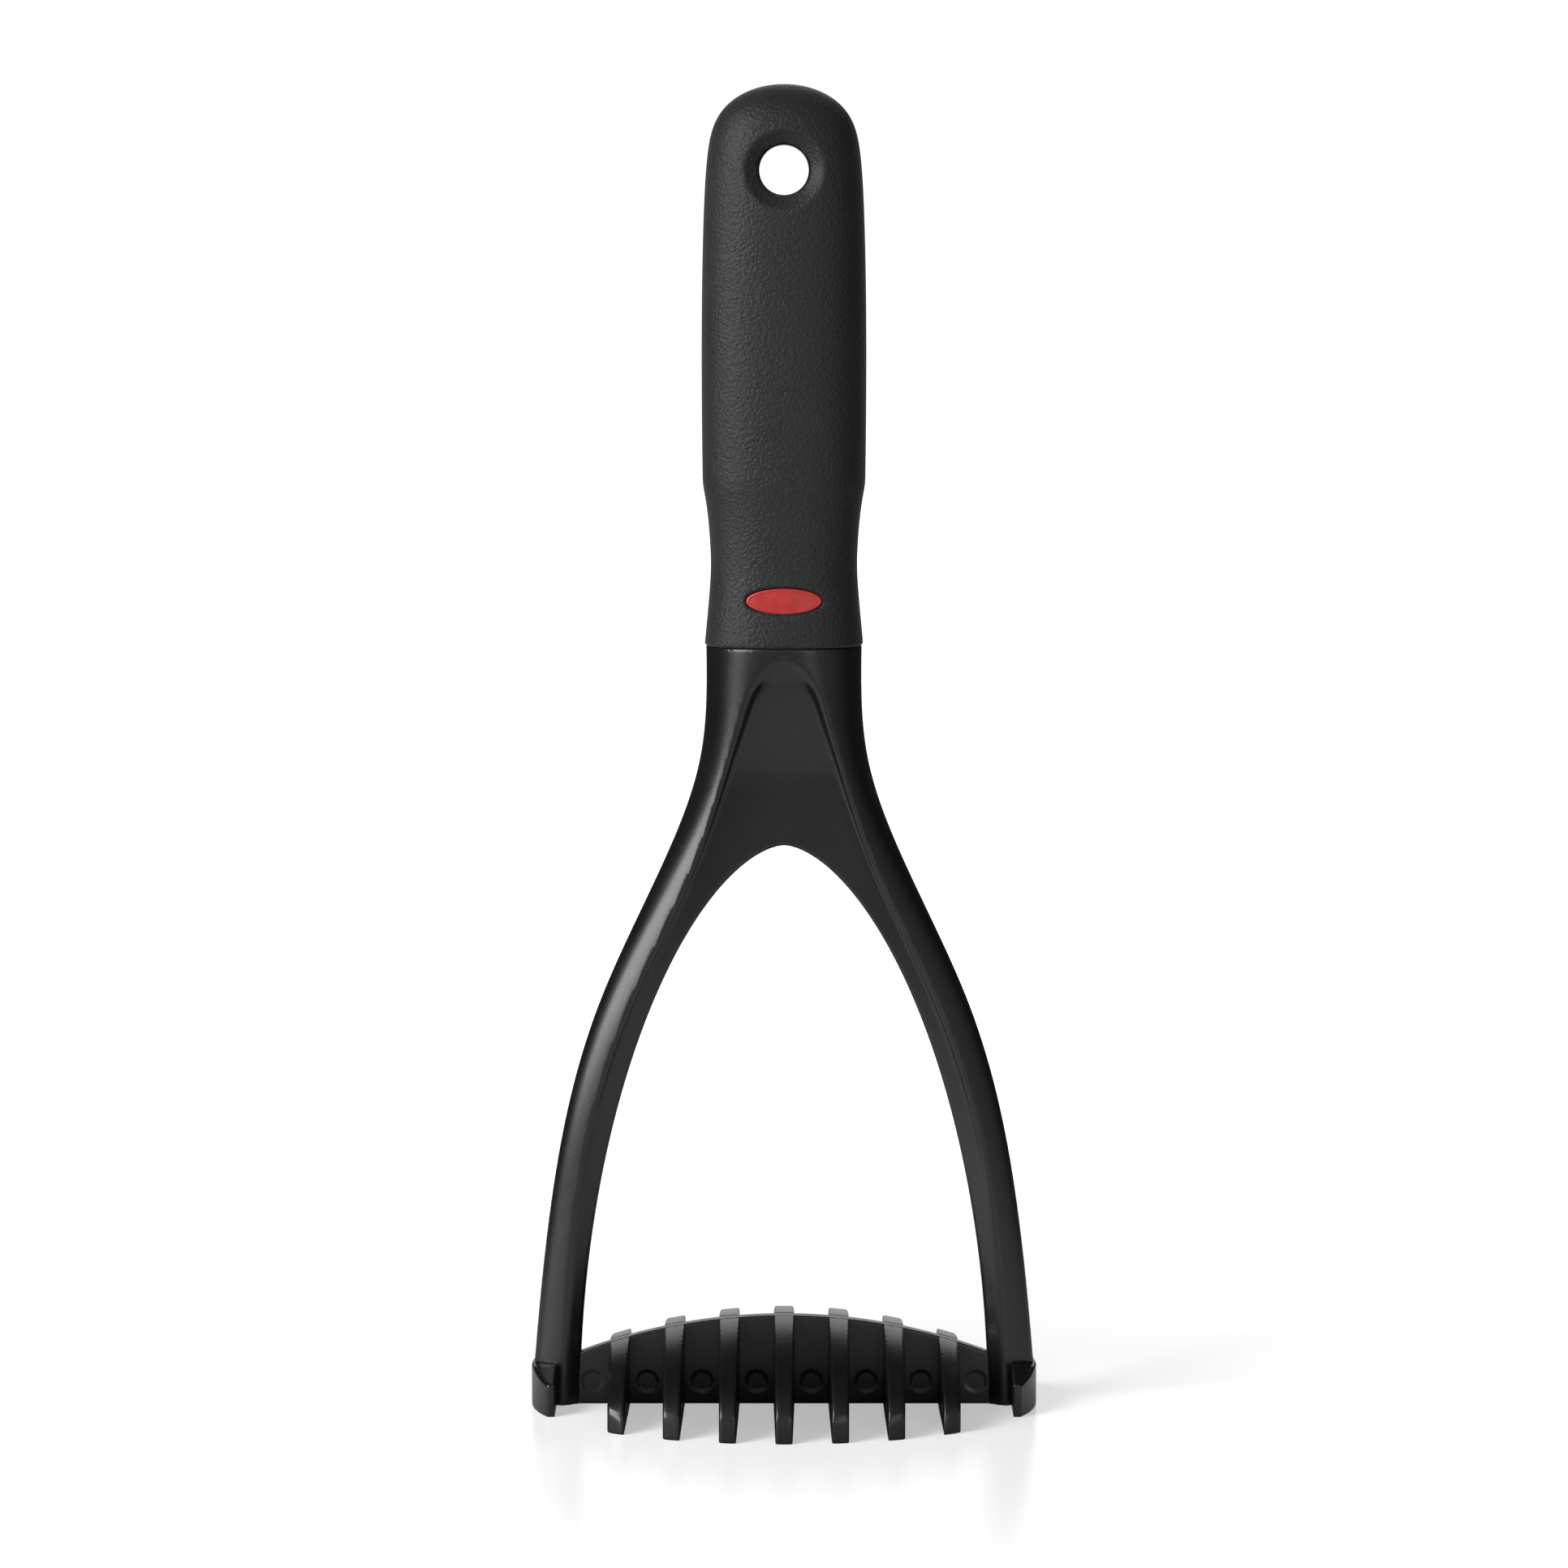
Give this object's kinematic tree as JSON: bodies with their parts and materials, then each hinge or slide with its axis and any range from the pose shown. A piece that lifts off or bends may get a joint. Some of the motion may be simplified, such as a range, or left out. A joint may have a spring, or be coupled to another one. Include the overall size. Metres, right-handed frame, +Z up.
{
  "type": "potato masher",
  "caption": "Upright hand masher: oval finned pressing head, forked neck, soft oval grip with a hang hole and a plain oval badge.",
  "frame": {"origin": "on the floor under the middle of the pressing head, which the masher stands on", "axes": "+Z up the handle, X across the head, the badge faces -Y"},
  "size_m": [0.1054, 0.0746, 0.2734],
  "materials": {
    "head_nylon": "satin moulded nylon",
    "core_nylon": "smooth moulded plastic",
    "soft_grip": "matte soft-touch, fine grain",
    "badge_red": "satin red"
  },
  "bodies": {
    "root": {"fork": "head_nylon", "head_spine": "head_nylon", "front_fin_1": "head_nylon", "front_fin_2": "head_nylon", "front_fin_3": "head_nylon", "front_fin_4": "head_nylon", "front_fin_5": "head_nylon", "front_fin_6": "head_nylon", "front_fin_7": "head_nylon", "back_fin_1": "head_nylon", "back_fin_2": "head_nylon", "back_fin_3": "head_nylon", "back_fin_4": "head_nylon", "back_fin_5": "head_nylon", "back_fin_6": "head_nylon", "back_fin_7": "head_nylon", "end_shoe_left": "head_nylon", "end_shoe_right": "head_nylon", "handle_core": "core_nylon", "grip_sleeve": "soft_grip", "badge_insert": "badge_red"}
  },
  "joints": []
}
